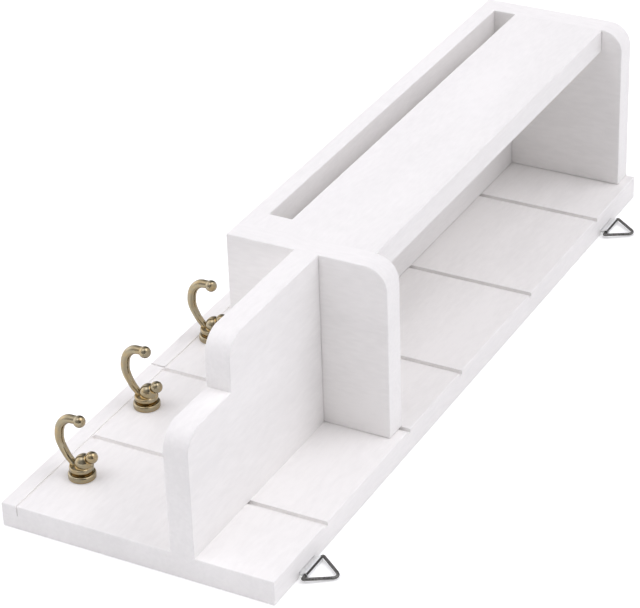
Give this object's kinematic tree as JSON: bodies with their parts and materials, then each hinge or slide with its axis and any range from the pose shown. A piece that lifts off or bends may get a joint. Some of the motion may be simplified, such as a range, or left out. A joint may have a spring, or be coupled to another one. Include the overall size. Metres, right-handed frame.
{
  "type": "key holder with mail slot",
  "caption": "Wall board with a stepped shelf, an open letter bin over a long mail slot, curled key hooks and triangle rings to hang it by.",
  "frame": {"origin": "middle of the board's flat back face, which lies on the wall", "axes": "+Z out of the wall, +X up the wall, +Y along the board to the letter box end; stored lying on its back"},
  "size_m": [0.1492, 0.39, 0.0976],
  "materials": {
    "white_paint": "satin white paint on 12 mm board",
    "antique_brass": "antique brass, darkened in the recesses",
    "dark_steel": "dark bright-drawn steel",
    "zinc_plate": "zinc-plated steel sheet"
  },
  "bodies": {
    "holder": {"back_board": "white_paint", "shelf": "white_paint", "near_side_panel": "white_paint", "far_side_panel": "white_paint", "front_panel": "white_paint", "sill_board": "white_paint", "slot_spacer": "white_paint", "bin_floor": "white_paint", "hook_rosette_1": "antique_brass", "hook_rosette_2": "antique_brass", "hook_rosette_3": "antique_brass", "hook_body_1": "antique_brass", "hook_body_2": "antique_brass", "hook_body_3": "antique_brass", "hook_knob_1": "antique_brass", "hook_knob_2": "antique_brass", "hook_knob_3": "antique_brass", "hook_stud_1": "dark_steel", "hook_stud_2": "dark_steel", "hook_stud_3": "dark_steel", "hanger_strap_1": "zinc_plate", "hanger_strap_2": "zinc_plate", "hanger_screw_1": "zinc_plate", "hanger_screw_2": "zinc_plate", "board_screw_1": "dark_steel", "board_screw_2": "dark_steel", "board_screw_3": "dark_steel", "board_screw_4": "dark_steel", "board_screw_5": "dark_steel", "board_screw_6": "dark_steel", "board_screw_7": "dark_steel", "board_screw_8": "dark_steel", "front_brad_1": "dark_steel", "front_brad_2": "dark_steel", "front_brad_3": "dark_steel", "front_brad_4": "dark_steel"},
    "ring_1": {"hanger_ring_1": "dark_steel"},
    "ring_2": {"hanger_ring_2": "dark_steel"}
  },
  "joints": [
    {"name": "ring_1_swing", "type": "hinge", "parent": "holder", "child": "ring_1", "pos_m": [0.0696, -0.167, 0.00195], "axis": [0, -1, 0], "range_deg": [-110, 95]},
    {"name": "ring_2_swing", "type": "hinge", "parent": "holder", "child": "ring_2", "pos_m": [0.0696, 0.157, 0.00195], "axis": [0, -1, 0], "range_deg": [-110, 95]}
  ]
}
